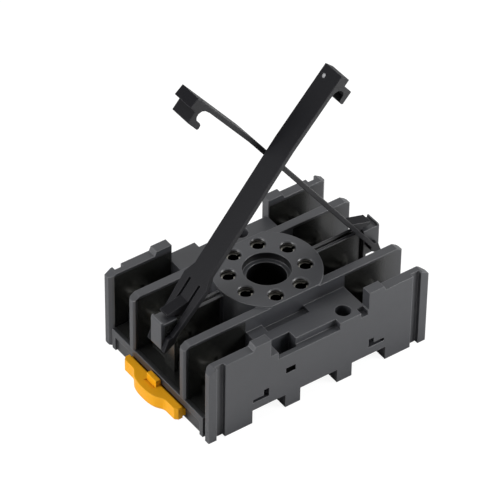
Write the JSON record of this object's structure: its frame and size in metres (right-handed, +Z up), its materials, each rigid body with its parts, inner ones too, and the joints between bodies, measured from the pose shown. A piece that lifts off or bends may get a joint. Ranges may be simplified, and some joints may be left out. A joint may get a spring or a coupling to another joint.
{
  "type": "relay socket",
  "caption": "Octal relay socket for rail or panel, with screw terminals in walled bays, a rail release slide and hinged hold-down clips.",
  "frame": {"origin": "on the centre axis of the plug boss and its key bore, at the plane of the feet, in the middle of the rail gap", "axes": "+X across the width, +Y along the length away from the release slide, +Z up towards the relay"},
  "size_m": [0.0402, 0.0628, 0.0718],
  "materials": {
    "body_plastic": "fine satin moulding, polished inside the bays",
    "clip_plastic": "satin",
    "slide_plastic": "semi gloss",
    "contact_brass": "stamped",
    "plated_steel": "zinc plated"
  },
  "bodies": {
    "socket": {"housing": "body_plastic", "base": "body_plastic", "contact_1": "contact_brass", "contact_2": "contact_brass", "contact_3": "contact_brass", "contact_4": "contact_brass", "contact_5": "contact_brass", "contact_6": "contact_brass", "contact_7": "contact_brass", "contact_8": "contact_brass", "clamp_plate_1": "plated_steel", "clamp_plate_2": "plated_steel", "clamp_plate_3": "plated_steel", "clamp_plate_4": "plated_steel", "clamp_plate_5": "plated_steel", "clamp_plate_6": "plated_steel", "clamp_plate_7": "plated_steel", "clamp_plate_8": "plated_steel", "terminal_screw_1": "plated_steel", "terminal_screw_2": "plated_steel", "terminal_screw_3": "plated_steel", "terminal_screw_4": "plated_steel", "terminal_screw_5": "plated_steel", "terminal_screw_6": "plated_steel", "terminal_screw_7": "plated_steel", "terminal_screw_8": "plated_steel"},
    "slide": {"rail_slide": "slide_plastic"},
    "front_arm": {"front_clip": "clip_plastic"},
    "rear_arm": {"rear_clip": "clip_plastic"}
  },
  "joints": [
    {"name": "rail_release", "type": "slide", "parent": "socket", "child": "slide", "axis": [0, -1, 0], "range_m": [0, 0.003], "stiffness_N_per_m": 1000, "springref_m": -0.001},
    {"name": "front_clip_hinge", "type": "hinge", "parent": "socket", "child": "front_arm", "pos_m": [0, -0.0275, 0.0163], "axis": [1, 0, 0], "range_deg": [0, 110]},
    {"name": "rear_clip_hinge", "type": "hinge", "parent": "socket", "child": "rear_arm", "pos_m": [0, 0.0275, 0.0163], "axis": [-1, 0, 0], "range_deg": [0, 110]}
  ]
}
